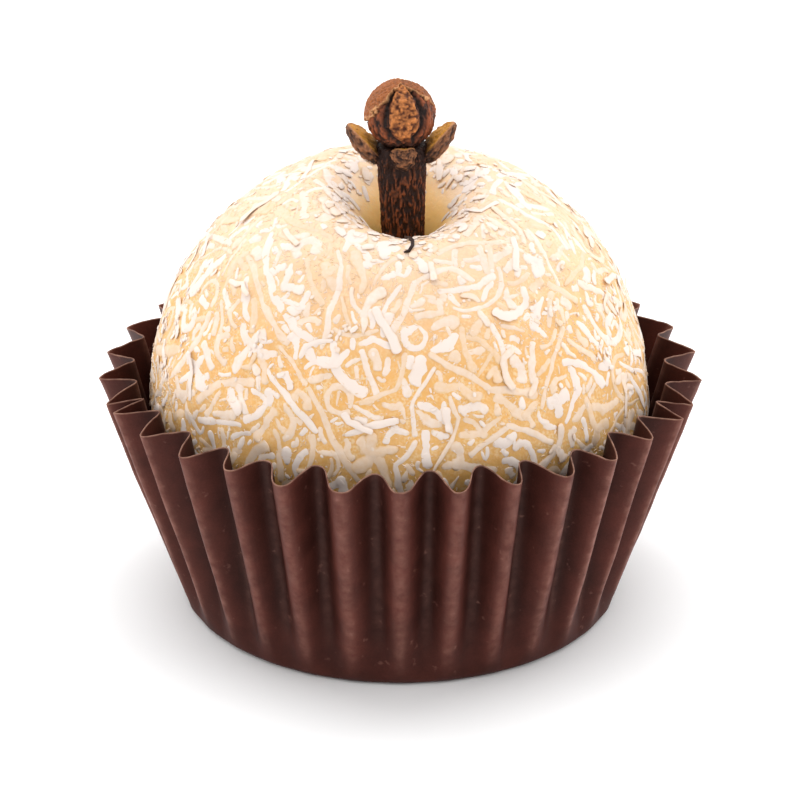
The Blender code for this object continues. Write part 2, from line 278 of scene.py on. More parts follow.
def case_surface(sizes):
    """Rings of the case's outside, from the middle of its floor up to its rim.

    A ring at a height has the radius over the ridges less the depth of its pleats. Pleats lean, stand out
    and are rounded a little differently from each other, and grain dents the paper. An inner fold is as long
    as a ridge but stands steeper, so it rises higher. Returns the rings, and for each point how rubbed its crease
    is, with a painted highlight along it, how near the cut edge it is, and a painted shade: lighter on the
    ridges and darker in the inner folds.
    """
    steps = 20
    dice = np.random.default_rng(41)
    lean = dice.uniform(-0.07, 0.07, PLEATS)
    facing = np.cos((np.arange(PLEATS) + 0.5) * EVEN_PITCH)
    rounding = dice.uniform(0.86, 0.97, PLEATS)
    fullness = ramp(0.55, 0.88, facing)
    ridge_stand = dice.uniform(-0.12, 0.12, PLEATS + 1) * MM
    ridge_stand[-1] = ridge_stand[0]
    inner_stand = dice.uniform(-0.16, 0.28, PLEATS) * MM
    turn = np.arange(PLEATS * steps) / steps
    pleat = turn.astype(int)
    share = turn - pleat
    heights = np.concatenate((
        np.array((0.0, 0.03, 0.1, 0.2, 0.34)) * MM,
        np.linspace(0.5 * MM, sizes.rim_height - 0.4 * MM, 40),
        sizes.rim_height - np.array((0.2, 0.07, 0.0)) * MM,
    ))
    height = heights[:, None]
    climb = height / sizes.rim_height
    rim_angles = rim_ridge_angles()
    start = ridge_angle(pleat, climb, rim_angles)
    pitch = ridge_angle(pleat + 1, climb, rim_angles) - start
    angle = start + pitch * share
    folded = fold(share - lean[pleat] * np.sin(math.pi * share) ** 2, rounding[pleat], fullness[pleat])
    radius = outer_radius(height, sizes) - pleat_depth(height, pitch, sizes) * folded
    stand = (1 - folded) * (ridge_stand[pleat] * (1 - share) + ridge_stand[pleat + 1] * share)
    radius = radius + climb * (stand + folded * inner_stand[pleat])
    sway = RIM_SWAY * climb * np.sin(3 * angle + 0.6) * np.cos(5 * angle)
    bare_radius = np.maximum(radius - sizes.floor_radius, 0)
    steeper = np.sqrt(np.maximum(slant(height, sizes) ** 2 - bare_radius**2, 0)) - height
    rise = height + sway + INNER_FOLD_RISE * np.maximum(steeper, 0)
    spots = np.stack((radius * np.sin(angle), -radius * np.cos(angle), rise), axis=-1)
    held = ramp(0.3 * MM, 3 * MM, height)
    dents = grain(spots, 3.6 * MM, 1) + 0.4 * grain(spots, 1.1 * MM, 2)
    radius = radius + held * sizes.crumple * dents
    ragged = 0.05 * MM * grain(spots, 0.5 * MM, 3) + 0.06 * MM * grain(spots, 2.2 * MM, 4)
    rise = rise + ragged * ramp(0.9, 1.0, climb)
    wall = np.stack((radius * np.sin(angle), -radius * np.cos(angle), rise), axis=-1)
    floor = wall[0] * np.linspace(0.02, 0.96, 12)[:, None, None]
    floor[:, :, 2] = 0.0
    # Paler along the ridge crests and faintly in the inner folds: rubbed paper, and partly a painted highlight on
    # the creases.
    wear_and_highlight = (1 - folded) ** 14 * ramp(0.02, 0.2, climb) + 0.35 * folded**20 * ramp(0.1, 0.3, climb)
    wear_and_highlight = wear_and_highlight * (1 - 0.6 * fullness)[pleat]
    cut = np.broadcast_to(ramp(sizes.rim_height - 0.05 * MM, sizes.rim_height, height), radius.shape)
    # Painted shade: the colour is lighter on the ridges and darker in the inner folds, fading out towards the
    # floor.
    fold_shade = 1 + (0.45 - folded) * ramp(0.0, 0.35, climb)
    flat = np.zeros((len(floor), len(turn)))
    values = {
        "wear_and_highlight": np.concatenate((flat, wear_and_highlight)),
        "cut": np.concatenate((flat, cut)),
        "fold_shade": np.concatenate((flat + 1, fold_shade)),
    }
    return np.concatenate((floor, wall)), values


def greaseproof_paper(sizes):
    """Greaseproof paper, brown through its pulp and calendered: satin, cloudy, paler on its creases where it is
    rubbed and where a highlight is painted, with painted shade in its inner folds and painted light on its ridges.
    """
    material, tree, shader, place = new_material("greaseproof_paper_brown", IOR=1.5, Specular_IOR_Level=0.09)
    cloud = add_node(tree, "TexNoise", {"Vector": place, "Scale": 1 / (1.7 * MM), "Detail": 3.0})
    cloudy = add_node(tree, "MapRange", {"Value": cloud.outputs["Fac"], "From Min": 0.3, "From Max": 0.7})
    dark = [0.76 * share for share in sizes.colour[:3]] + [1.0]
    light = [1.2 * share for share in sizes.colour[:3]] + [1.0]
    body = add_node(tree, "Mix", {0: cloudy.outputs["Result"], 6: dark, 7: light}, data_type="RGBA")
    # Fibres 0.12 mm across give the fine tooth of the sheet.
    fibre = add_node(tree, "TexNoise", {"Vector": place, "Scale": 1 / (0.12 * MM), "Detail": 2.0})
    speck = add_node(tree, "MapRange", {"Value": fibre.outputs["Fac"], "To Min": 0.78, "To Max": 1.22})
    flecked = add_node(
        tree,
        "Mix",
        {0: 1.0, 6: body.outputs[2], 7: speck.outputs["Result"]},
        data_type="RGBA",
        blend_type="MULTIPLY",
    )
    # Painted shade: the colour is multiplied lighter on the ridges and darker in the inner folds.
    painted_fold_shade = add_node(tree, "Attribute", attribute_name="fold_shade").outputs["Fac"]
    fold_shaded = add_node(
        tree,
        "Mix",
        {0: 1.0, 6: flecked.outputs[2], 7: painted_fold_shade},
        data_type="RGBA",
        blend_type="MULTIPLY",
    )
    # Where the sheet was bent or scuffed the brown skin has cracked and shows the paler fibres; along the creases
    # the paler colour is partly a painted highlight.
    worn_and_highlit = add_node(tree, "Attribute", attribute_name="wear_and_highlight").outputs["Fac"]
    patchy = add_node(tree, "TexNoise", {"Vector": place, "Scale": 1 / (0.6 * MM), "Detail": 4.0})
    scuffed = add_node(
        tree,
        "MapRange",
        {"Value": patchy.outputs["Fac"], "From Min": 0.66, "From Max": 0.78, "To Max": 0.35},
    )
    cracked = add_node(
        tree,
        "MapRange",
        {"Value": patchy.outputs["Fac"], "From Min": 0.3, "From Max": 0.65, "To Min": 0.25},
    )
    rubbed = add_node(
        tree,
        "Math",
        {0: worn_and_highlit, 1: cracked.outputs["Result"], 2: scuffed.outputs["Result"]},
        operation="MULTIPLY_ADD",
        use_clamp=True,
    )
    # Rubbed creases, with a painted highlight along them, take a paler pinkish brown.
    creased = add_node(
        tree,
        "Mix",
        {0: rubbed.outputs[0], 6: fold_shaded.outputs[2], 7: linear("#8F6358")},
        data_type="RGBA",
    )
    edge = add_node(tree, "Attribute", attribute_name="cut").outputs["Fac"]
    frayed = add_node(tree, "Math", {0: edge, 1: cracked.outputs["Result"]}, operation="MULTIPLY")
    coloured = add_node(
        tree, "Mix", {0: frayed.outputs[0], 6: creased.outputs[2], 7: sizes.cut_colour}, data_type="RGBA"
    )
    tree.links.new(coloured.outputs[2], shader.inputs["Base Color"])
    sheen = add_node(
        tree,
        "MapRange",
        {"Value": cloud.outputs["Fac"], "To Min": 0.42, "To Max": 0.60},
    )
    tree.links.new(sheen.outputs["Result"], shader.inputs["Roughness"])
    tooth = add_node(
        tree, "Bump", {"Height": fibre.outputs["Fac"], "Strength": 0.25, "Distance": 0.03 * MM}
    )
    tree.links.new(tooth.outputs["Normal"], shader.inputs["Normal"])
    return material


class SWEET_OT_paper_case(bpy.types.Operator):
    """Add the paper case, gathered into uneven pleats, over its solid"""

    bl_idname = "sweet.paper_case"
    bl_label = "Paper case"

    def execute(self, context):
        sizes = context.scene.sweet_case
        rings, values = case_surface(sizes)
        rows, columns = rings.shape[:2]
        faces = ring_quads(rows, columns).tolist()
        faces += cap_fan(rows * columns, 0, columns, False).tolist()
        points = np.concatenate((rings.reshape(-1, 3), np.zeros((1, 3))))
        numbers = {label: np.append(grid.ravel(), grid[0, 0]) for label, grid in values.items()}
        case = add_piece("pleated_case", points, faces, greaseproof_paper(sizes), numbers)
        shell = case.modifiers.new("Paper", "SOLIDIFY")
        shell.thickness = sizes.paper
        shell.offset = -1
        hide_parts("paper_case")
        return {"FINISHED"}


# ---- the sweet -------------------------------------------------------------------------------------------

BALL_UNDER_DEPTH = 13.0 * MM
BALL_REST = 0.45 * MM
CASE_CLEARANCE = 0.3 * MM
LUMP = 0.10 * MM
CRATER_RADIUS = 6.9 * MM
CRATER_SLIMNESS = 1.28
CRATER_DEPTH = 7.8 * MM
CLOVE_PLACE = np.array((0.25, -2.5, 19.7)) * MM


class SweetBallSizes(bpy.types.PropertyGroup):
    """Sizes and colours of the ball of sweet."""

    radius: FloatProperty(
        name="Radius", description="Radius of the sweet", default=15.05 * MM, unit="LENGTH"
    )
    centre_height: FloatProperty(
        name="Middle", description="Height of the widest ring", default=12.9 * MM, unit="LENGTH"
    )
    relief: FloatProperty(
        name="Relief", description="Depth of the dents between the shreds", default=0.11 * MM, unit="LENGTH"
    )
    colour: FloatVectorProperty(
        name="Colour", description="Colour of the sweet", default=linear("#DDA65F"), size=4, subtype="COLOR"
    )
    # The sweet turns paler towards the top, from 19 mm to 26 mm up.
    upper_colour: FloatVectorProperty(
        name="Dusted colour",
        description="Colour of the sweet where fine coconut dusts it, towards the top",
        default=linear("#E2BF9E"),
        size=4,
        subtype="COLOR",
    )
    # Bright golden bare sweet, lightened as a painted light against the shade in the crater.
    bare_lit_colour: FloatVectorProperty(
        name="Bare colour",
        description="Colour of the bare sweet in the crater",
        default=linear("#FFCB78"),
        size=4,
        subtype="COLOR",
    )
    # Darker than the sweet: bare sweet where the coconut has rubbed off, and painted shade low on the front and
    # right.
    rubbed_and_shaded_colour: FloatVectorProperty(
        name="Rubbed colour",
        description="Colour of the sweet low on the front, where the coconut has rubbed off",
        default=linear("#D0A05C"),
        size=4,
        subtype="COLOR",
    )


def crater_distance(points):
    """Distance from the clove in an oval measure, in which the crater is as wide from side to side as deep."""
    apart = points[..., :2] - CLOVE_PLACE[:2]
    return np.hypot(apart[..., 0] * CRATER_SLIMNESS, apart[..., 1])


def inside_case(points, case, clearance):
    """The points, drawn in towards the axis until they clear the case's inner folds, and less above the rim."""
    across = np.hypot(points[..., 0], points[..., 1])
    height = np.clip(points[..., 2], 0, case.rim_height)
    room = outer_radius(height, case) - pleat_depth(height, EVEN_PITCH, case) - case.paper - clearance
    room = room + 0.3 * np.maximum(points[..., 2] - case.rim_height, 0)
    share = np.minimum(1.0, room / np.maximum(across, 1e-9))
    return points * np.stack((share, share, np.ones_like(share)), axis=-1)


def skin(directions, ball, case):
    """Points of the sweet's surface along unit directions from its middle.

    A ball above and a flattened one below; the crater sinks it by the square of the distance to its lip, slow
    waves and grain swell it, and inside the case it keeps clear of the inner folds.
    """
    depth = np.where(directions[..., 2:] > 0, ball.radius, BALL_UNDER_DEPTH)
    stretch = np.concatenate((np.full_like(depth, ball.radius), np.full_like(depth, ball.radius), depth), -1)
    points = directions * stretch + np.array((0.0, 0.0, ball.centre_height))
    up = (points[..., 2] - ball.centre_height) / ball.radius
    around = np.arctan2(points[..., 0], -points[..., 1])
    wave = np.sin(2 * around + 1.1) * np.cos(2.2 * up) + 0.6 * np.sin(3 * around - 0.5 + 3 * up)
    swell = LUMP * wave * np.maximum(0.0, 1 - up * up)
    swell = swell + ball.relief * (grain(points, 2.6 * MM, 5) + 0.9 * grain(points, 0.8 * MM, 6))
    sunk = np.where(up > 0, CRATER_DEPTH * np.maximum(1 - crater_distance(points) / CRATER_RADIUS, 0) ** 2, 0)
    points = points + directions * swell[..., None]
    points[..., 2] -= sunk
    points[..., 2] = np.maximum(points[..., 2], BALL_REST)
    return inside_case(points, case, CASE_CLEARANCE)


def tangents(directions):
    """Unit vectors to the east and to the north of unit directions."""
    pole = np.where(np.abs(directions[..., 2:]) < 0.9, (0.0, 0.0, 1.0), (1.0, 0.0, 0.0))
    east = unit(np.cross(pole, directions))
    return east, np.cross(directions, east)


def skin_frame(directions, ball, case):
    """Points of the surface and its outward normals, from steps of 0.3 mm to the east and to the north."""
    east, north = tangents(directions)
    step = 0.3 * MM / ball.radius
    here = skin(directions, ball, case)
    eastwards = skin(unit(directions + step * east), ball, case) - here
    northwards = skin(unit(directions + step * north), ball, case) - here
    return here, unit(np.cross(eastwards, northwards))


def sweet_rings(ball):
    """Directions of the sweet's rings, from underneath up to the clove.

    The upper rings slide towards the clove, the more so the nearer they are to it, until they lie round it.
    """
    around = np.linspace(0, 2 * math.pi, 480, endpoint=False)
    tilt = np.linspace(0.03, 0.5 * math.pi, 36)[:-1]
    under = np.sin(tilt)[:, None, None] * np.stack((np.sin(around), -np.cos(around)), axis=-1)
    under = np.concatenate((under, -np.broadcast_to(np.cos(tilt)[:, None, None], (35, 480, 1))), axis=-1)
    crater_tilt = math.asin(CRATER_RADIUS / ball.radius)
    dome = ball.radius * np.sin(np.linspace(0.5 * math.pi, crater_tilt, 60))
    crater = np.linspace(CRATER_RADIUS, 0.05 * MM, 70)[1:]
    radius = np.concatenate((dome, crater))[:, None, None]
    follow = 1 - ramp(CRATER_RADIUS, ball.radius, radius)
    flat = radius * np.stack((np.sin(around), -np.cos(around)), axis=-1) + CLOVE_PLACE[:2] * follow
    flat = flat / ball.radius
    upright = np.sqrt(np.maximum(1 - (flat**2).sum(axis=-1, keepdims=True), 0))
    return np.concatenate((under, np.concatenate((flat, upright), axis=-1)))


def cooked_milk_sweet():
    """Condensed milk cooked with butter and coconut: a soft, slightly greasy paste that light soaks into."""
    material, tree, shader, place = new_material(
        "cooked_milk_sweet", IOR=1.45, Subsurface_Weight=0.2, Subsurface_Scale=0.6 * MM
    )
    shader.inputs["Subsurface Radius"].default_value = (1.0, 0.55, 0.22)
    bare = add_node(tree, "Attribute", attribute_name="bare").outputs["Fac"]
    tint = add_node(tree, "Attribute", attribute_name="tint").outputs["Color"]
    cloud = add_node(tree, "TexNoise", {"Vector": place, "Scale": 1 / (1.3 * MM), "Detail": 3.0})
    # Ground coconut in the paste, 0.16 mm across, shows as paler specks, more in some patches than in others.
    specks = add_node(tree, "TexNoise", {"Vector": place, "Scale": 1 / (0.16 * MM), "Detail": 1.0})
    pale = add_node(
        tree,
        "MapRange",
        {"Value": specks.outputs["Fac"], "From Min": 0.42, "From Max": 0.66, "To Max": 0.7},
    )
    patch = add_node(
        tree,
        "MapRange",
        {"Value": cloud.outputs["Fac"], "From Min": 0.38, "From Max": 0.62, "To Min": 0.12},
    )
    covered = add_node(tree, "MapRange", {"Value": bare, "To Min": 1.0, "To Max": 0.15})
    sown = add_node(
        tree, "Math", {0: pale.outputs["Result"], 1: patch.outputs["Result"]}, operation="MULTIPLY"
    )
    shown = add_node(
        tree, "Math", {0: sown.outputs[0], 1: covered.outputs["Result"]}, operation="MULTIPLY"
    )
    speckled = add_node(
        tree, "Mix", {0: shown.outputs[0], 6: tint, 7: linear("#E2CCA8")}, data_type="RGBA"
    )
    tree.links.new(speckled.outputs[2], shader.inputs["Base Color"])
    wet = add_node(tree, "MapRange", {"Value": cloud.outputs["Fac"], "To Min": 0.34, "To Max": 0.58})
    tree.links.new(wet.outputs["Result"], shader.inputs["Roughness"])
    fine = add_node(tree, "TexNoise", {"Vector": place, "Scale": 1 / (0.25 * MM), "Detail": 3.0})
    bump = add_node(tree, "Bump", {"Height": fine.outputs["Fac"], "Strength": 0.5, "Distance": 0.05 * MM})
    tree.links.new(bump.outputs["Normal"], shader.inputs["Normal"])
    return material


class SWEET_OT_ball(bpy.types.Operator):
    """Add the ball of cooked milk and coconut, with the crater round its clove"""

    bl_idname = "sweet.ball"
    bl_label = "Ball of sweet"

    def execute(self, context):
        ball = context.scene.sweet_ball
        rings = skin(sweet_rings(ball), ball, context.scene.sweet_case)
        points, faces = closed_rings(rings)
        height = points[:, 2]
        crater = (1 - ramp(2.3 * MM, 4.6 * MM, crater_distance(points))) * (height > ball.centre_height)
        # Low on the front and right the sweet is painted darker: bare where the coconut rubbed off, and partly
        # painted shade.
        front = ramp(2 * MM, 12 * MM, 0.2 * points[:, 0] - points[:, 1])
        rubbed = ramp(20 * MM, 11 * MM, height) * (0.15 + 0.85 * front)
        # Paler towards the top.
        tint = mixed_colours(ball.colour, ball.upper_colour, ramp(19 * MM, 26 * MM, height))
        tint = mixed_colours(tint, ball.rubbed_and_shaded_colour, rubbed)
        # The crater takes the bare colour, lightened as a painted light against its shade.
        tint = mixed_colours(tint, ball.bare_lit_colour, crater)
        bare = np.maximum(crater, 0.5 * rubbed)
        sweet = add_piece(
            "milk_sweet", points, faces, cooked_milk_sweet(), {"bare": bare}, {"tint": tint}
        )
        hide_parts("coconut_ball")
        return {"FINISHED"}


# ---- the shredded coconut --------------------------------------------------------------------------------

GOLDEN_TURN = math.pi * (3 - math.sqrt(5))
COCONUT_FOOT = 9 * MM
CRATER_BARE = 3.3 * MM
NEIGHBOURHOOD = 8 * MM
# Kinds of flakes in the order they are laid: the roots tried, the fewest and most lobes that grow from a
# root, their lengths and widths in strip widths, how far they turn and kink, how many kink, the shortest lobe
# kept in strip widths, the steps along a lobe, and the range of the gap kept to others in millimetres.
FLAKES = {
    "coconut_rings": dict(
        tried=40, lobes=(1, 1), length=(5, 12), width=(0.75, 1.0), turn=(2.0, 6.1), kink=0.0, least=3.5,
        steps=20, gap=(0.0, 0.2),
    ),
    "coconut_long": dict(
        tried=420, lobes=(1, 2), length=(5.0, 10.0), width=(0.6, 0.95), turn=(0.0, 0.9), kink=0.5, least=3.0,
        steps=12, gap=(-0.1, 0.12),
    ),
    "coconut_torn": dict(
        tried=1700, lobes=(2, 5), length=(1.2, 4.6), width=(0.7, 1.25), turn=(0.0, 1.0), kink=0.8, least=0.8,
        steps=8, gap=(-0.08, 0.16),
    ),
    "coconut_shreds": dict(
        tried=10000, lobes=(2, 2), length=(0.9, 3.8), width=(0.6, 1.1), turn=(0.0, 1.2), kink=1.0, least=0.6,
        steps=8, gap=(-0.08, 0.16),
    ),
    "coconut_bits": dict(
        tried=12000, lobes=(1, 2), length=(0.3, 1.3), width=(0.3, 0.75), turn=(0.0, 0.8), kink=0.0, least=0.2,
        steps=3, gap=(-0.04, 0.16),
    ),
}
# Rings that round off the ends of a strip: how far past the end, in widths, and how wide.
END_REACH = np.array((0.27, 0.42))
END_WIDTH = np.array((0.78, 0.34))


class SweetCoconutSizes(bpy.types.PropertyGroup):
    """Amount, sizes and colours of the shredded coconut."""

    amount: FloatProperty(
        name="Amount", description="Share of the coconut that is laid", default=1.0, subtype="FACTOR", min=0.01
    )
    loose: IntProperty(name="Loose strips", description="Strips that lie over the others", default=70, min=1)
    grains: IntProperty(name="Grains", description="Fine grains to try", default=34000, min=1)
    width: FloatProperty(
        name="Strip width", description="Width of a grated strip", default=0.5 * MM, unit="LENGTH"
    )
    thickness: FloatProperty(
        name="Strip thickness", description="Thickness of a grated strip", default=0.06 * MM, unit="LENGTH"
    )
    colour: FloatVectorProperty(
        name="Colour", description="Colour of thick coconut", default=linear("#E0D1C7"), size=4, subtype="COLOR"
    )
    thin_colour: FloatVectorProperty(
        name="Thin colour",
        description="Colour of coconut so thin that the sweet shows through",
        default=linear("#DAB68B"),
        size=4,
        subtype="COLOR",
    )


def clove_direction(ball):
    """The direction of the clove from the middle of the ball."""
    flat = CLOVE_PLACE[:2] / ball.radius
    return np.append(flat, math.sqrt(1 - (flat**2).sum()))


def scattered_directions(count, dice, ball, nearest=4.7 * MM):
    """Directions spread over the sweet: a golden spiral, each point shaken by part of its spacing.

    Fewer stay low on the front, and none stay nearer to the clove than the nearest distance.
    """
    index = np.arange(count) + 0.5
    lowest = (COCONUT_FOOT - ball.centre_height) / ball.radius
    upward = 1 - (1 - lowest) * index / count
    turn = index * GOLDEN_TURN
    flat = np.sqrt(1 - upward**2)
    directions = np.stack((flat * np.sin(turn), -flat * np.cos(turn), upward), axis=-1)
    spacing = math.sqrt(2 * math.pi * (1 - lowest) / count)
    directions = unit(directions + dice.normal(0, 0.5 * spacing, (count, 3)))
    height = directions[:, 2]
    front = ramp(0.2, 0.8, -directions[:, 1])
    keep = 1 - ramp(0.62, 0.0, height) * (0.1 + 0.5 * front)
    apart = crater_distance(directions * ball.radius)
    keep = keep * np.where(height > 0, ramp(nearest, nearest + 1.3 * MM, apart), 1)
    directions = directions[dice.random(count) < keep]
    return dice.permutation(directions)


def strip_paths(dice, headings, lengths, turns, kinks, steps):
    """Flat middle lines of strips from their roots: arcs that wander, each kinked at one place."""
    count = len(lengths)
    along = np.linspace(0, 1, steps)
    heading = headings[:, None] + turns[:, None] * along
    heading = heading + np.cumsum(dice.normal(0, 0.10, (count, steps)), axis=1)
    bend = dice.uniform(0.3, 0.7, (count, 1))
    heading = heading + kinks[:, None] * ramp(bend - 0.06, bend + 0.06, along)
    stride = lengths[:, None] / (steps - 1)
    path = np.stack((np.cumsum(stride * np.cos(heading), 1), np.cumsum(stride * np.sin(heading), 1)), -1)
    return path - path[:, :1]


def wrap(starts, paths, ball):
    """Directions of flat paths laid from their starts over the sweet."""
    east, north = tangents(starts)
    offset = paths[..., :1] * east[:, None] + paths[..., 1:] * north[:, None]
    return unit(starts[:, None] + offset / ball.radius)


def grow(owners, directions, reaches, gaps, least, placed, ball):
    """The share of its length that each strip grows to before it meets a flake laid before.

    The flakes are tried in turn. A point of a strip is blocked where it is nearer to any point laid before
    than both half widths and the gap together. A strip ends before its first blocked point, and it is left
    out if that makes it shorter than the least share. The owners number the flakes that the strips belong to.
    """
    steps = directions.shape[1]
    shares = np.zeros(len(owners))
    for members in np.split(np.arange(len(owners)), np.flatnonzero(np.diff(owners)) + 1):
        own = directions[members]
        near = placed["spots"] @ own[0, 0] > math.cos(NEIGHBOURHOOD / ball.radius)
        room = reaches[members, None, None] + placed["reaches"][near] + gaps[owners[members[0]]]
        apart = np.sqrt(np.maximum(2 - 2 * own @ placed["spots"][near].T, 0)) * ball.radius
        free = np.cumprod(np.all(apart > room, axis=-1), axis=1).astype(bool)
        share = np.maximum(free.sum(axis=1) - 1, 0) / (steps - 1)
        share = np.where(share >= least[members], share, 0.0)
        shares[members] = share
        laid = free & (share > 0)[:, None]
        placed["spots"] = np.concatenate((placed["spots"], own[laid]))
        reach = np.broadcast_to(reaches[members, None], laid.shape)
        placed["reaches"] = np.concatenate((placed["reaches"], reach[laid]))
    return shares


def shortened(paths, shares):
    """Paths cut at a share of their length and divided again into as many steps."""
    steps = paths.shape[1]
    place = shares[:, None] * np.arange(steps)
    before = np.minimum(place.astype(int), steps - 2)
    inside = (place - before)[..., None]
    row = np.arange(len(paths))[:, None]
    return paths[row, before] * (1 - inside) + paths[row, before + 1] * inside


def lay_strips(directions, outlines, widths, thicknesses, rises, ball, case, sides=6):
    """Rings of strips pressed into the sweet.

    A section is a low lens whose edges lie just under the surface, as wide and as thick as its outline says,
    with either edge torn by grain. Rises lift the middle line. Returns the rings and how near each point is to an edge or an end.
    """
    middle, normal = skin_frame(directions, ball, case)
    middle = middle + (rises - 0.2 * thicknesses[:, None])[..., None] * normal
    tangent = unit(np.gradient(middle, axis=1))
    side = unit(np.cross(normal, tangent))
    normal = np.cross(tangent, side)
    turn = 2 * math.pi * np.arange(sides) / sides
    flat_top = np.sign(np.cos(turn)) * np.abs(np.cos(turn)) ** 0.7
    half_width = 0.5 * widths[:, None, None] * outlines[..., None] * flat_top
    torn = grain(middle[:, :, None] + side[:, :, None] * half_width[..., None], 0.36 * MM, 9)
    half_width = half_width * (1 + 0.34 * torn)
    thick = np.minimum(outlines, 1.0) ** 0.5
    half_height = 0.5 * thicknesses[:, None, None] * thick[..., None] * np.sin(turn)
    points = middle[:, :, None] + side[:, :, None] * half_width[..., None]
    points = points + normal[:, :, None] * half_height[..., None]
    end = ramp(0.8, 0.3, outlines)
    thin = np.maximum(np.cos(turn) ** 4, end[..., None])
    return inside_case(points, case, 0.0), thin


def join_tubes(tubes):
    """One mesh from many tubes of like layout, each closed with a flat face at either end."""
    count, steps, sides = tubes.shape[:3]
    first = (np.arange(count) * steps * sides)[:, None, None]
    quads = (ring_quads(steps, sides)[None] + first).reshape(-1, 4)
    root_end = first[:, 0] + np.arange(sides)[::-1]
    tip_end = first[:, 0] + (steps - 1) * sides + np.arange(sides)
    return tubes.reshape(-1, 3), quads.tolist() + root_end.tolist() + tip_end.tolist()


def dried_coconut(coconut):
    """Coconut flesh, grated and dried: white, waxy and translucent, so the sweet tints it where it is thin."""
    material, tree, shader, place = new_material("dried_grated_coconut", IOR=1.46, Specular_IOR_Level=0.3)
    shader.inputs["Roughness"].default_value = 0.5
    tone = add_node(tree, "Attribute", attribute_name="tone").outputs["Fac"]
    thin = add_node(tree, "Attribute", attribute_name="thin").outputs["Fac"]
    # Fibres of the flesh, 0.3 mm apart, cloud each strip.
    fibre = add_node(tree, "TexNoise", {"Vector": place, "Scale": 1 / (0.3 * MM), "Detail": 2.0})
    clouded = add_node(
        tree, "MapRange", {"Value": fibre.outputs["Fac"], "To Min": -0.3, "To Max": 0.4}
    )
    toned = add_node(tree, "Math", {0: clouded.outputs["Result"], 1: tone}, operation="ADD")
    whiteness = add_node(
        tree,
        "Math",
        {0: thin, 1: -0.45, 2: toned.outputs[0]},
        operation="MULTIPLY_ADD",
        use_clamp=True,
    )
    body = add_node(
        tree,
        "Mix",
        {0: whiteness.outputs[0], 6: coconut.thin_colour, 7: coconut.colour},
        data_type="RGBA",
    )
    tree.links.new(body.outputs[2], shader.inputs["Base Color"])
    bump = add_node(tree, "Bump", {"Height": fibre.outputs["Fac"], "Strength": 0.2, "Distance": 0.02 * MM})
    tree.links.new(bump.outputs["Normal"], shader.inputs["Normal"])
    return material


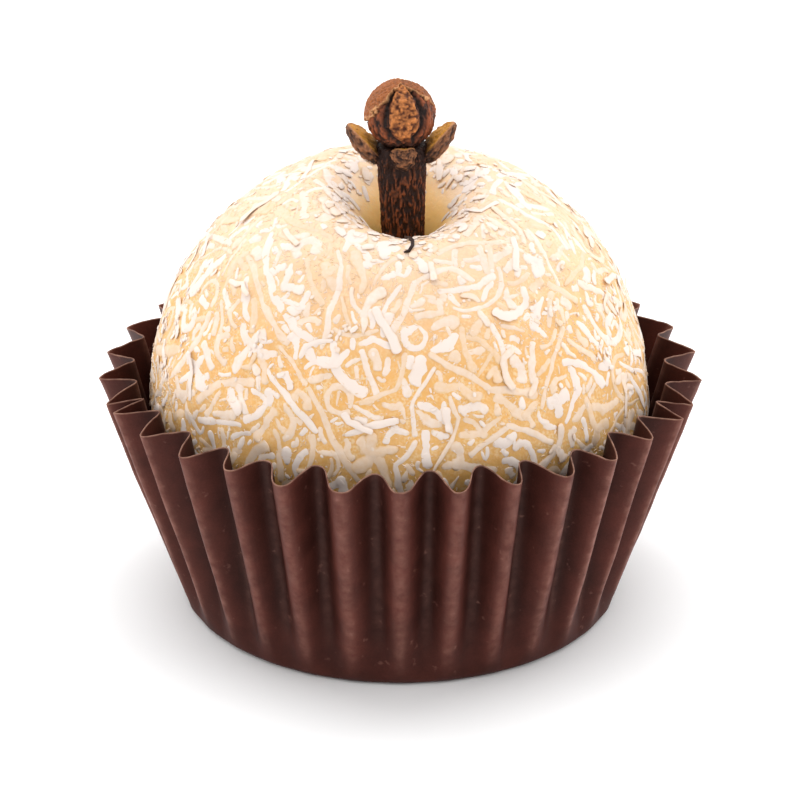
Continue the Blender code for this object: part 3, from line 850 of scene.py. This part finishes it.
class SWEET_OT_coconut(bpy.types.Operator):
    """Add the coconut that the sweet was rolled in: rings, torn flakes, shreds, bits and grains"""

    bl_idname = "sweet.coconut"
    bl_label = "Shredded coconut"

    def execute(self, context):
        scene = context.scene
        self.coconut, self.ball, self.case = scene.sweet_coconut, scene.sweet_ball, scene.sweet_case
        self.material = dried_coconut(self.coconut)
        self.placed = {"spots": clove_direction(self.ball)[None], "reaches": np.array((CRATER_BARE,))}
        for seed, (name, kind) in enumerate(FLAKES.items()):
            self.add_flakes(name, kind, 100 + seed)
        self.add_loose()
        self.add_crumbs()
        self.add_grains()
        return {"FINISHED"}

    def add_flakes(self, name, kind, seed):
        """Flakes whose lobes grow from their roots until they meet the flakes laid before."""
        dice = np.random.default_rng(seed)
        roots = scattered_directions(int(kind["tried"] * self.coconut.amount), dice, self.ball)
        number = dice.integers(kind["lobes"][0], kind["lobes"][1] + 1, len(roots))
        owners = np.repeat(np.arange(len(roots)), number)
        count = len(owners)
        order = np.arange(count) - np.repeat(np.cumsum(number) - number, number)
        headings = dice.uniform(0, 2 * math.pi, len(roots))[owners]
        headings = headings + 2 * math.pi * order / number[owners] + dice.normal(0, 0.4, count)
        lengths = self.coconut.width * dice.uniform(*kind["length"], count)
        turns = dice.uniform(*kind["turn"], count) * dice.choice((-1, 1), count)
        kinks = kind["kink"] * dice.normal(0, 1, count) * (dice.random(count) < 0.4)
        paths = strip_paths(dice, headings, lengths, turns, kinks, kind["steps"])
        scale = dice.uniform(*kind["width"], len(roots))[owners]
        widths = self.coconut.width * scale * dice.uniform(0.8, 1.2, count)
        gaps = dice.uniform(*kind["gap"], len(roots)) * MM
        least = kind["least"] * self.coconut.width / lengths
        directions = wrap(roots[owners], paths, self.ball)
        shares = grow(owners, directions, 0.5 * widths, gaps, least, self.placed, self.ball)
        kept = shares > 0
        paths = shortened(paths, shares)[kept]
        owners, widths = owners[kept], widths[kept]
        tones = dice.uniform(0.25, 1.25, len(roots))[owners]
        lifts = 0.18 * MM * dice.random(len(roots))[owners] ** 12
        lifts = np.minimum(lifts, 0.12 * (lengths * shares)[kept])
        self.lay(name, roots[owners], paths, widths, dice, lifts, tones)

    def add_loose(self):
        """Loose strips lie over the others, and one end of each stands up."""
        dice = np.random.default_rng(120)
        starts = scattered_directions(self.coconut.loose, dice, self.ball)
        count = len(starts)
        lengths = self.coconut.width * dice.uniform(2.0, 5.5, count)
        kinks = 0.9 * dice.normal(0, 1, count) * (dice.random(count) < 0.4)
        headings = dice.uniform(0, 2 * math.pi, count)
        paths = strip_paths(dice, headings, lengths, dice.uniform(-1.2, 1.2, count), kinks, 8)
        widths = self.coconut.width * dice.uniform(0.5, 0.95, count)
        lifts = dice.uniform(0.0, 0.2, count) * MM
        tones = dice.uniform(0.7, 1.3, count)
        self.lay("coconut_loose", starts, paths, widths, dice, lifts, tones, 0.04 * MM)

    def lay(self, name, starts, paths, widths, dice, lifts, tones, rise=0.0):
        """Strips with uneven edges and rounded ends, whose tips are lifted by the square of the way along."""
        count, steps = paths.shape[:2]
        past = END_REACH[:, None] * widths[:, None, None] * dice.uniform(0.4, 2.2, (count, 1, 1))
        behind = paths[:, :1] - past[:, ::-1] * unit(paths[:, 1:2] - paths[:, :1])
        beyond = paths[:, -1:] + past * unit(paths[:, -1:] - paths[:, -2:-1])
        directions = wrap(starts, np.concatenate((behind, paths, beyond), axis=1), self.ball)
        along = np.linspace(0, 1, steps)
        taper = dice.uniform(-0.4, 0.3, (count, 1))
        outlines = 1.15 * (1 + taper * along) * dice.uniform(0.84, 1.16, (count, steps))
        root = outlines[:, :1] * END_WIDTH[::-1]
        tip = outlines[:, -1:] * END_WIDTH
        outlines = np.concatenate((root, outlines, tip), axis=1)
        thicknesses = self.coconut.thickness * dice.uniform(0.8, 1.2, count)
        rises = rise + lifts[:, None] * np.concatenate(((0, 0), along, (1, 1))) ** 2
        tubes, thin = lay_strips(
            directions, outlines, widths, thicknesses, rises, self.ball, self.case
        )
        self.add_tubes(name, tubes, thin, tones)

    def add_tubes(self, name, tubes, thin, tones):
        points, faces = join_tubes(tubes)
        numbers = {"tone": np.broadcast_to(tones[:, None, None], thin.shape), "thin": thin}
        piece = add_piece(name, points, faces, self.material, numbers)
        piece.data.set_sharp_from_angle(angle=math.radians(75))

    def add_grains(self):
        """Grains strewn in drifts, where slow noise is high: short, and combed along a slow field."""
        dice = np.random.default_rng(130)
        starts = scattered_directions(self.coconut.grains, dice, self.ball)
        drift = grain(starts * self.ball.radius, 1.6 * MM, 7)
        starts = starts[dice.uniform(-0.6, 0.4, len(starts)) < drift]
        nearest = KDTree(len(self.placed["spots"]))
        for index, spot in enumerate(self.placed["spots"]):
            nearest.insert(spot, index)
        nearest.balance()
        found = [nearest.find(start)[1:] for start in starts]
        apart = np.array([distance * self.ball.radius - self.placed["reaches"][index] for index, distance in found])
        starts = starts[apart > -0.03 * MM]
        count = len(starts)
        sizes = dice.uniform(0.09, 0.19, count) * MM
        headings = 3 * grain(starts * self.ball.radius, 2.4 * MM, 8) + dice.normal(0, 0.35, count)
        tones = dice.uniform(0.2, 0.7, count)
        self.lay_crumbs("coconut_grains", starts, headings, sizes, 0.8 * sizes, dice, np.zeros(count), tones, 4)

    def add_crumbs(self):
        """Crumbs of coconut: a ragged lip round the crater, small heaps, and single ones over the sweet."""
        dice = np.random.default_rng(125)
        around = scattered_directions(12000, dice, self.ball, 2.3 * MM)
        apart = crater_distance(around * self.ball.radius)
        lip = around[dice.random(len(around)) < np.exp(-(((apart - 4.6 * MM) / (1.0 * MM)) ** 2))]
        middles = np.repeat(scattered_directions(34, dice, self.ball), 16, axis=0)
        heaps = wrap(middles, dice.normal(0, 0.42 * MM, (len(middles), 1, 2)), self.ball)[:, 0]
        singles = scattered_directions(700, dice, self.ball)
        starts = np.concatenate((lip, heaps, singles))
        kinds = (len(lip), len(heaps), len(singles))
        count = sum(kinds)
        sizes = np.repeat((0.38, 0.22, 0.18), kinds) * dice.uniform(0.5, 1.5, count) * MM
        lifts = np.repeat((0.25, 0.4, 0.3), kinds) * dice.random(count) * sizes
        headings = dice.uniform(0, 2 * math.pi, count)
        tones = np.repeat((1.1, 1.1, 0.9), kinds) + dice.uniform(-0.4, 0.3, count)
        self.lay_crumbs("coconut_crumbs", starts, headings, sizes, 0.2 * sizes, dice, lifts, tones, 6)

    def lay_crumbs(self, name, starts, headings, sizes, thicknesses, dice, lifts, tones, sides):
        """Short pieces of three rings, up to twice as long as they are wide."""
        zeros = np.zeros(len(starts))
        paths = strip_paths(dice, headings, sizes * dice.uniform(0.7, 1.7, len(starts)), zeros, zeros, 3)
        directions = wrap(starts, paths, self.ball)
        outlines = np.broadcast_to((0.6, 1.0, 0.6), (len(starts), 3))
        rises = np.repeat(lifts[:, None], 3, axis=1)
        tubes, thin = lay_strips(
            directions, outlines, sizes, thicknesses, rises, self.ball, self.case, sides
        )
        self.add_tubes(name, tubes, thin, tones)


# ---- the clove -------------------------------------------------------------------------------------------

CLOVE_LEAN = math.radians(-1.0)
# Radius at each height of the stem, in millimetres, from its pressed-in end to the cup under the bud.
STEM_HEIGHTS = (0.0, 0.3, 2.0, 4.4, 6.6, 8.6, 9.2, 9.8)
STEM_RADII = (0.95, 1.17, 1.24, 1.26, 1.33, 1.45, 1.66, 1.45)
STEM_SQUARENESS = 0.05
BUD_RADIUS = 2.03 * MM
WEDGE_TURN = 276
BUD_HEIGHT = 11.5 * MM
SEPAL_ROOT = np.array((1.1, 0.0, 8.8)) * MM
SEPAL_LENGTH = 2.95 * MM
SEPAL_WIDTH = 2.7 * MM
SEPAL_THICKNESS = 0.9 * MM
# For each sepal: degrees round the stem, shares of the length and the width, degrees that it rises and curls,
# and bluntness.
SEPALS = {
    "right": (0, 1.0, 1.0, 31, 34, 0.75),
    "back": (92, 0.95, 1.0, 34, 34, 0.75),
    "left": (180, 1.0, 1.0, 31, 34, 0.75),
    "front": (276, 0.44, 0.66, 58, 4, 0.45),
}
# The torn lower edge of the outer petals: degrees down from the bud's top, at degrees round from the split
# between them, on either side.
TORN_ROUND = (-90, -72, -50, -38, -31, -12, 0, 12, 40, 48, 70, 90)
TORN_DOWN = (96, 86, 68, 52, 34, 17, 11, 17, 29, 45, 61, 92)


# A fibre torn from the stem: where it runs over the crater's lip, to the right and to the back in millimetres,
# and its width along the way.
FIBRE_PLACES = ((0.3, -6.5), (0.55, -7.1), (0.72, -7.7), (0.7, -8.2), (0.5, -8.6), (0.22, -8.7))
FIBRE_OUTLINE = (0.6, 1.0, 1.1, 1.0, 0.8, 0.3)
FIBRE_WIDTH = 0.22 * MM


class SweetCloveSizes(bpy.types.PropertyGroup):
    """Wrinkles and colours of the clove."""

    wrinkle: FloatProperty(
        name="Wrinkles", description="Depth of the stem's wrinkles", default=0.11 * MM, unit="LENGTH"
    )
    stem_colour: FloatVectorProperty(
        name="Stem", description="Colour of the stem", default=linear("#402016"), size=4, subtype="COLOR"
    )
    petal_colour: FloatVectorProperty(
        name="Petals", description="Colour of the petals", default=linear("#96562B"), size=4, subtype="COLOR"
    )


def clove_place(points):
    """Points of the clove's own frame, leant to the side and set in the crater."""
    x, y, z = np.moveaxis(points, -1, 0)
    leant_x = x * math.cos(CLOVE_LEAN) + z * math.sin(CLOVE_LEAN)
    leant_z = z * math.cos(CLOVE_LEAN) - x * math.sin(CLOVE_LEAN)
    return np.stack((leant_x, y, leant_z), axis=-1) + CLOVE_PLACE


def stem_surface(clove):
    """A four-sided tube: the profile's radius, less at four flats, with long upright beads of grain."""
    around = np.linspace(0, 2 * math.pi, 300, endpoint=False)
    height = np.linspace(0, STEM_HEIGHTS[-1], 200)[:, None] * MM
    radius = np.interp(height / MM, STEM_HEIGHTS, STEM_RADII) * MM
    radius = radius * (1 - STEM_SQUARENESS * np.cos(4 * around))
    spots = np.stack(np.broadcast_arrays(radius * np.cos(around), radius * np.sin(around), 0.24 * height), -1)
    coarse = grain(spots, 0.08 * MM, 11) + 0.3 * grain(spots, 0.22 * MM, 13)
    fine = grain(spots * (1, 1, 2), 0.07 * MM, 12)
    # Wrinkles are lower under the cup; the stem's tint follows them, which paints shade under the cup.
    wrinkle = ramp(-0.5, 0.5, coarse) + 0.4 * fine - 0.35 * ramp(7.8 * MM, 9.0 * MM, height)
    radius = radius + clove.wrinkle * (wrinkle - 0.5)
    lid = np.array((0.7, 0.35, 0.02))[:, None]
    foot = radius[0] * lid[::-1]
    radius = np.concatenate((foot, radius, radius[-1] * lid))
    height = np.concatenate((np.zeros((3, 1)), height, np.full((3, 1), STEM_HEIGHTS[-1] * MM)))
    wrinkle = np.concatenate((wrinkle[:3], wrinkle, wrinkle[-3:]))
    points = np.stack(
        np.broadcast_arrays(radius * np.cos(around), radius * np.sin(around), height), axis=-1
    )
    return points, wrinkle


def sepal_surface(degrees, length_share, width_share, rise_degrees, curl_degrees, bluntness, seed):
    """A thick blunt scale: a ball drawn out along a rising curve, narrowing to its tip, coarse outside.

    It is cupped by the square of the way across. Returns its rings, how light its grain is, with painted shade
    darkest at the root, and how much each point belongs to the inner face and to the rim.
    """
    around = np.linspace(0, 2 * math.pi, 96, endpoint=False)
    pole = np.linspace(0.02, math.pi - 0.02, 90)[:, None]
    blunt = np.sin(pole) ** bluntness
    x, y, z = np.broadcast_arrays(-np.cos(pole), blunt * np.cos(around), blunt * np.sin(around))
    along = 0.5 * (x + 1)
    rise = math.radians(rise_degrees) + 0.5 * math.radians(curl_degrees) * along
    tilt = math.radians(rise_degrees) + math.radians(curl_degrees) * along
    length = SEPAL_LENGTH * length_share
    coarse = grain(np.stack((x, y, z), -1), 0.17, seed) + 0.5 * grain(np.stack((x, y, z), -1), 0.09, seed + 1)
    thick = 0.5 * SEPAL_THICKNESS * (1.25 - 0.5 * along) * z + 0.45 * SEPAL_THICKNESS * y**2
    thick = thick + 0.07 * MM * coarse * np.sign(z) * np.abs(z) ** 0.3
    wide = 0.5 * SEPAL_WIDTH * width_share * (1 - 0.38 * along**2) * y * (1 + 0.06 * coarse)
    local_x = SEPAL_ROOT[0] + np.cos(rise) * length * along - np.sin(tilt) * thick
    local_z = SEPAL_ROOT[2] + np.sin(rise) * length * along + np.cos(tilt) * thick
    turn = math.radians(degrees)
    points = np.stack((
        local_x * math.cos(turn) - wide * math.sin(turn),
        local_x * math.sin(turn) + wide * math.cos(turn),
        local_z,
    ), axis=-1)
    edge = np.exp(-((z - 0.25) / 0.22) ** 2) * ramp(0.35, 0.8, along)
    # The grain's lightness drops towards the root: painted shade where the sepal meets the stem.
    return points, coarse - 0.9 * ramp(0.5, 0.05, along), ramp(0.1, 0.6, z) * ramp(0.15, 0.6, along), edge


def bud_surface(clove):
    """The bud: a ball whose radius rises and falls with what covers it.

    Above the torn edge lie the two smooth outer petals. Below it a granular wedge stands out at the front and
    the back, between two clefts darkened with painted shade, and the sides are upright streaks. The bottom of the
    bud is darkened with painted shade. Returns the rings and their colours.
    """
    around = np.linspace(0, 2 * math.pi, 330, endpoint=False)
    down = np.linspace(math.pi - 0.02, 0.02, 260)[:, None]
    ball = np.stack(np.broadcast_arrays(
        np.sin(down) * np.cos(around), np.sin(down) * np.sin(around), np.cos(down)
    ), axis=-1)
    fine = grain(ball, 0.055, 21)
    gritty = grain(ball, 0.11, 22)
    streaks = grain(ball * (1, 1, 0.3), 0.09, 23) + 0.6 * grain(ball * (1, 1, 0.7), 0.055, 25)
    # Degrees round from the nearer of the front and back of the bud, and whether that is the back.
    front_turn = (np.degrees(around) - WEDGE_TURN + 180) % 360 - 180
    at_back = np.abs(front_turn) > 90
    turn = np.where(at_back, np.sign(front_turn) * 180 - front_turn, front_turn)
    ragged = 8 * grain(ball * (1, 1, 1.3), 0.16, 24) + 5 * fine
    torn = np.interp(turn, TORN_ROUND, TORN_DOWN)
    below = np.degrees(down) - torn - ragged
    petal = ramp(0.7, -0.7, below)
    curl = np.exp(-((below + 2) / 2.6) ** 2)
    width = np.interp(np.degrees(down), (10, 40, 95, 122), (14, 25, 26, 6))
    apart = np.abs(turn) + 4 * gritty
    wedge = ramp(width + 2.5, width - 2.5, apart) * ramp(124, 116, np.degrees(down) + 3 * fine)
    cleft = np.exp(-((np.abs(turn) - width - 9) / 7) ** 2) * ramp(128, 112, np.degrees(down)) * (1 - petal)
    split = np.exp(-(turn / 7) ** 2) * ramp(26, 10, np.degrees(down))
    lapped = ramp(-2, 2, turn + 12 * gritty)
    relief = petal * (0.14 - 0.08 * lapped + 0.04 * curl + 0.05 * fine + 0.02 * gritty)
    beads = 0.07 * gritty + 0.06 * fine
    relief = relief + (1 - petal) * (wedge * (0.08 + beads) + (1 - wedge) * 0.07 * streaks)
    relief = relief - 0.24 * cleft * (1 - 0.35 * ramp(-0.2, 0.5, gritty)) - 0.05 * split * (1 - petal)
    points = ball * (BUD_RADIUS - 0.08 * MM + relief[..., None] * MM)
    points[..., 2] += BUD_HEIGHT
    dark, red = linear("#1C0B06"), linear("#8E4A2A")
    colour = mixed_colours(dark, red, ramp(-0.7, 0.8, streaks))
    grainy = mixed_colours(linear("#4A2211"), linear("#C2783F"), ramp(-1.0, 1.1, gritty + 0.9 * fine))
    colour = colour + (grainy - colour) * wedge[..., None]
    # Painted shade: the clefts are darkened nearly to black.
    colour = colour + (np.array(dark) - colour) * np.clip(1.1 * cleft, 0, 1)[..., None]
    shaded = np.array(clove.petal_colour) * (0.5, 0.5, 0.5, 1)
    smooth = mixed_colours(shaded, clove.petal_colour, 0.85 + 0.7 * fine + 0.3 * gritty - 0.45 * lapped)
    rim = np.clip(curl * petal, 0, 1)
    smooth = mixed_colours(smooth, linear("#D09A68"), 0.7 * rim)
    colour = colour + (smooth - colour) * petal[..., None]
    # Painted shade: the bottom of the bud, down in the cup, is darkened.
    under = np.broadcast_to(ramp(116, 134, np.degrees(down)), petal.shape)
    return points, mixed_colours(colour, dark, 0.9 * under)


def stem_fibre(ball, case):
    """A round strip laid over the crater's lip, standing a little above the crumbs."""
    flat = np.array(FIBRE_PLACES) * MM / ball.radius
    upright = np.sqrt(1 - (flat**2).sum(axis=-1, keepdims=True))
    directions = np.concatenate((flat, upright), axis=-1)[None]
    size = np.array((FIBRE_WIDTH,))
    rises = np.full((1, len(flat)), 0.16 * MM)
    return lay_strips(directions, np.array((FIBRE_OUTLINE,)), size, size, rises, ball, case)[0]


def dried_flower_bud(clove):
    """A flower bud dried in the sun until it is woody: dull, wrinkled and a little oily."""
    material, tree, shader, place = new_material("dried_flower_bud", IOR=1.48, Specular_IOR_Level=0.25)
    tint = add_node(tree, "Attribute", attribute_name="tint").outputs["Color"]
    fine = add_node(tree, "TexNoise", {"Vector": place, "Scale": 1 / (0.10 * MM), "Detail": 3.0})
    shade = add_node(tree, "MapRange", {"Value": fine.outputs["Fac"], "To Min": 0.45, "To Max": 1.55})
    body = add_node(
        tree,
        "Mix",
        {0: 1.0, 6: tint, 7: shade.outputs["Result"]},
        data_type="RGBA",
        blend_type="MULTIPLY",
    )
    tree.links.new(body.outputs[2], shader.inputs["Base Color"])
    oily = add_node(tree, "MapRange", {"Value": fine.outputs["Fac"], "To Min": 0.42, "To Max": 0.75})
    tree.links.new(oily.outputs["Result"], shader.inputs["Roughness"])
    bump = add_node(tree, "Bump", {"Height": fine.outputs["Fac"], "Strength": 0.9, "Distance": 0.06 * MM})
    tree.links.new(bump.outputs["Normal"], shader.inputs["Normal"])
    return material


class SWEET_OT_clove(bpy.types.Operator):
    """Add the clove: its wrinkled stem with a torn fibre, four sepals and torn bud"""

    bl_idname = "sweet.clove"
    bl_label = "Clove"

    def execute(self, context):
        clove = context.scene.sweet_clove
        material = dried_flower_bud(clove)
        stem, wrinkle = stem_surface(clove)
        points, faces = closed_rings(clove_place(stem))
        # Painted light and shade: the stem goes from a darkened copy of its colour in the hollows and under the cup
        # to a lit red-brown on the beads.
        dark = np.array(clove.stem_colour) * (0.35, 0.35, 0.35, 1)
        tint = with_poles(mixed_colours(dark, linear("#8C4A27"), 0.95 * wrinkle - 0.53))
        body = add_piece("clove_stem", points, faces, material, colours={"tint": tint})
        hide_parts("clove")
        for seed, (side, shape) in enumerate(SEPALS.items()):
            sepal, coarse, inner, edge = sepal_surface(*shape, 30 + 2 * seed)
            points, faces = closed_rings(clove_place(sepal))
            # Grain from a darkened copy of the stem colour to a lighter brown, with painted shade at the root.
            tint = mixed_colours(dark, linear("#94603F"), 0.42 + 0.65 * coarse)
            # Painted reflection: the inner face is tinted golden by the light thrown up from the sweet.
            tint = mixed_colours(tint, linear("#D99A3E"), 0.85 * inner)
            tint = mixed_colours(tint, linear("#C48A5E"), 0.7 * edge)
            add_piece(
                "clove_sepal_" + side,
                points,
                faces,
                material,
                colours={"tint": with_poles(tint)},
            )
        points, faces = join_tubes(stem_fibre(context.scene.sweet_ball, context.scene.sweet_case))
        tint = np.tile(dark, (len(points), 1))
        add_piece("clove_fibre", points, faces, material, colours={"tint": tint})
        bud, colour = bud_surface(clove)
        points, faces = closed_rings(clove_place(bud))
        add_piece("clove_bud", points, faces, material, colours={"tint": with_poles(colour)})
        return {"FINISHED"}


# ---- the stage -------------------------------------------------------------------------------------------


# Soft boxes round the sweet: name, place and size in metres, and power in watts.
SOFT_BOXES = (
    ("overhead_box", (0.0, 0.10, 0.45), 0.40, 1.5),
    ("front_box", (0.0, -0.25, 0.42), 0.35, 0.35),
    ("low_front_box", (0.0, -0.55, 0.10), 0.35, 0.3),
    ("left_box", (-0.5, -0.15, 0.22), 0.35, 0.75),
    ("right_box", (0.5, -0.15, 0.22), 0.35, 0.75),
    ("back_left_box", (-0.4, 0.35, 0.28), 0.35, 1.25),
    ("back_right_box", (0.4, 0.35, 0.28), 0.35, 1.25),
)


class SweetStage(bpy.types.PropertyGroup):
    """Where the camera stands, where it looks and its lens."""

    distance: FloatProperty(
        name="Distance", description="From the camera to the middle", default=180 * MM, unit="LENGTH"
    )
    elevation: FloatProperty(
        name="Elevation",
        description="How far the camera looks down",
        default=math.radians(24.1),
        subtype="ANGLE",
        unit="ROTATION",
    )
    aim_height: FloatProperty(
        name="Aim height", description="Height that the camera looks at", default=12.25 * MM, unit="LENGTH"
    )
    lens: FloatProperty(
        name="Lens", description="Focal length in millimetres on a 36 mm sensor", default=133.9
    )


def add_area_light(name, place, aim, size, power):
    """A square soft box at a place, turned to its aim."""
    data = bpy.data.lights.new(name, "AREA")
    data.size = size
    data.energy = power
    lamp = bpy.data.objects.new(name, data)
    lamp.location = place
    lamp.rotation_euler = (Vector(aim) - Vector(place)).to_track_quat("-Z", "Y").to_euler()
    bpy.context.scene.collection.objects.link(lamp)
    return lamp


def white_sweep():
    """Matt white paper sweep: plain, with a faint unevenness of its coating."""
    material, tree, shader, place = new_material("matt_white_sweep", Roughness=0.9)
    cloud = add_node(tree, "TexNoise", {"Vector": place, "Scale": 1 / (40 * MM)})
    body = add_node(
        tree,
        "Mix",
        {0: cloud.outputs["Fac"], 6: linear("#F6F6F6"), 7: linear("#FAFAFA")},
        data_type="RGBA",
    )
    tree.links.new(body.outputs[2], shader.inputs["Base Color"])
    return material


class SWEET_OT_stage(bpy.types.Operator):
    """Add the floor, the soft light and the camera"""

    bl_idname = "sweet.stage"
    bl_label = "Stage"

    def execute(self, context):
        scene = context.scene
        stage = scene.sweet_stage
        around = np.linspace(0, 2 * math.pi, 96, endpoint=False)
        ring = np.stack((np.cos(around), np.sin(around), 0 * around), axis=-1)
        mesh = bpy.data.meshes.new("floor")
        mesh.from_pydata((1.5 * ring).tolist(), [], [list(range(96))])
        mesh.materials.append(white_sweep())
        floor = bpy.data.objects.new("floor", mesh)
        scene.collection.objects.link(floor)
        world = bpy.data.worlds.new("studio")
        world.use_nodes = True
        world.node_tree.nodes["Background"].inputs["Color"].default_value = linear("#FFFFFF")
        world.node_tree.nodes["Background"].inputs["Strength"].default_value = 0.61
        scene.world = world
        for name, place, size, power in SOFT_BOXES:
            add_area_light(name, place, (0, 0, 0.012), size, power)
        scene.view_settings.view_transform = "Standard"
        camera_data = bpy.data.cameras.new("camera")
        camera_data.lens = stage.lens
        camera_data.sensor_width = 36.0
        camera_data.clip_start = 0.01
        camera = bpy.data.objects.new("camera", camera_data)
        back = Vector((0.0, -math.cos(stage.elevation), math.sin(stage.elevation)))
        camera.location = Vector((0.0, 0.0, stage.aim_height)) + back * stage.distance
        camera.rotation_euler = (0.5 * math.pi - stage.elevation, 0.0, 0.0)
        scene.collection.objects.link(camera)
        scene.camera = camera
        return {"FINISHED"}


# ---- the sidebar and the run -----------------------------------------------------------------------------

OPERATORS = (SWEET_OT_stage, SWEET_OT_paper_case, SWEET_OT_ball, SWEET_OT_coconut, SWEET_OT_clove)
GROUPS = {
    "sweet_case": SweetCaseSizes,
    "sweet_ball": SweetBallSizes,
    "sweet_coconut": SweetCoconutSizes,
    "sweet_clove": SweetCloveSizes,
    "sweet_stage": SweetStage,
}


class SWEET_PT_panel(bpy.types.Panel):
    """Sizes, colours and pieces of the sweet."""

    bl_label = "Coconut brigadeiro"
    bl_space_type = "VIEW_3D"
    bl_region_type = "UI"
    bl_category = "Sweet"

    def draw(self, context):
        for label in GROUPS:
            box = self.layout.box()
            group = getattr(context.scene, label)
            for entry in group.bl_rna.properties:
                if not entry.is_readonly and entry.identifier != "name":
                    box.prop(group, entry.identifier)
        for operator in OPERATORS:
            self.layout.operator(operator.bl_idname)


def register():
    for label, group in GROUPS.items():
        bpy.utils.register_class(group)
        setattr(bpy.types.Scene, label, PointerProperty(type=group))
    for kind in (*OPERATORS, SWEET_PT_panel):
        bpy.utils.register_class(kind)


def unregister():
    for kind in (SWEET_PT_panel, *reversed(OPERATORS)):
        bpy.utils.unregister_class(kind)
    for label, group in reversed(GROUPS.items()):
        delattr(bpy.types.Scene, label)
        bpy.utils.unregister_class(group)


def main():
    register()
    bpy.ops.sweet.stage()
    bpy.ops.sweet.paper_case()
    bpy.ops.sweet.ball()
    bpy.ops.sweet.coconut()
    bpy.ops.sweet.clove()


if __name__ == "__main__":
    main()
